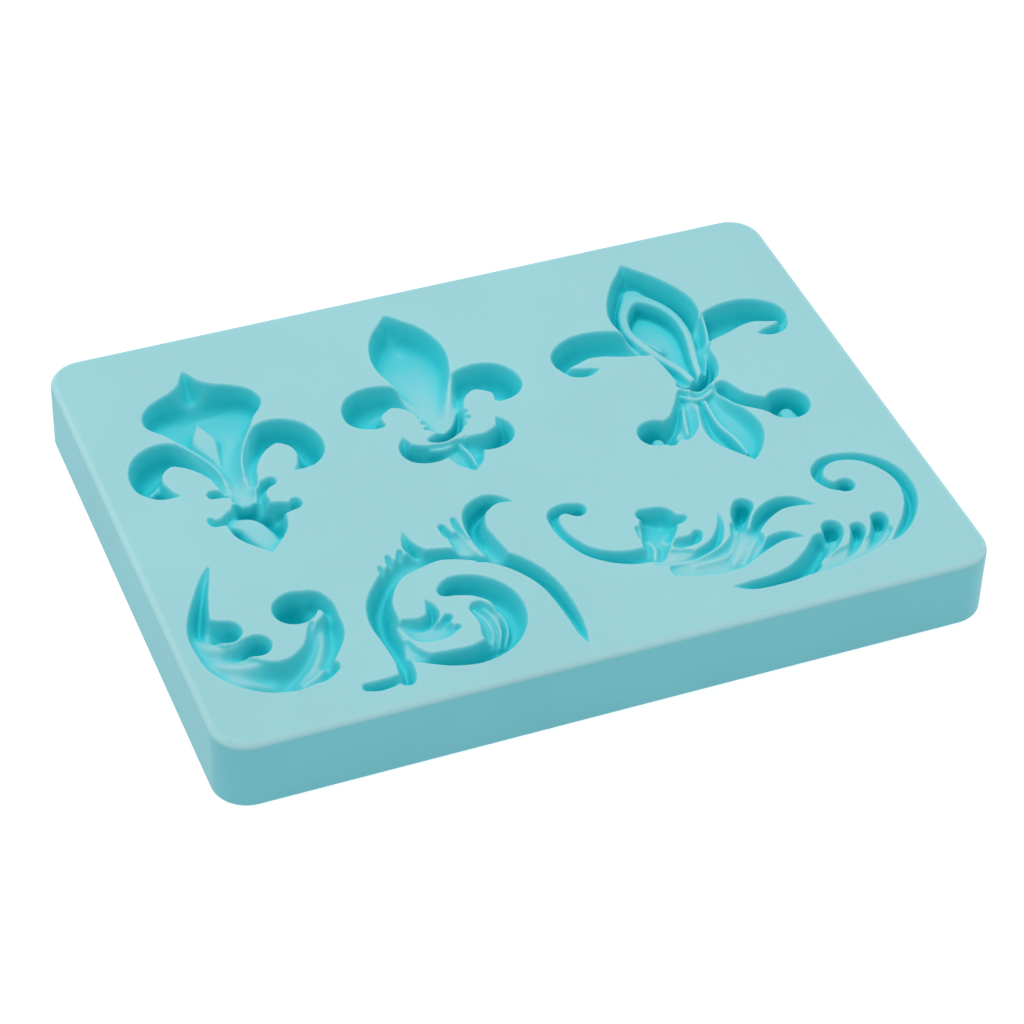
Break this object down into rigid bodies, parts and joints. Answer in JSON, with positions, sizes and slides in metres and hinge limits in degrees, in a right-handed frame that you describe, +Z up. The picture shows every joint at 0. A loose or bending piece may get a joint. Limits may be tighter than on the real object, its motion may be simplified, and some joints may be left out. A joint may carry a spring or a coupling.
{
  "type": "resin casting mould",
  "caption": "Flat flexible open-face mould with recessed lily and scroll ornament cavities for pouring small resin castings.",
  "frame": {"origin": "middle of the flat underside, on the surface that the mould rests on", "axes": "+X along the long side, +Y along the short side towards the tips of the lilies, +Z up out of the open cavities"},
  "size_m": [0.127, 0.095, 0.0127],
  "materials": {
    "silicone": "satin, slightly translucent platinum-cure silicone rubber"
  },
  "bodies": {
    "root": {"mould_body": "silicone"}
  },
  "joints": []
}
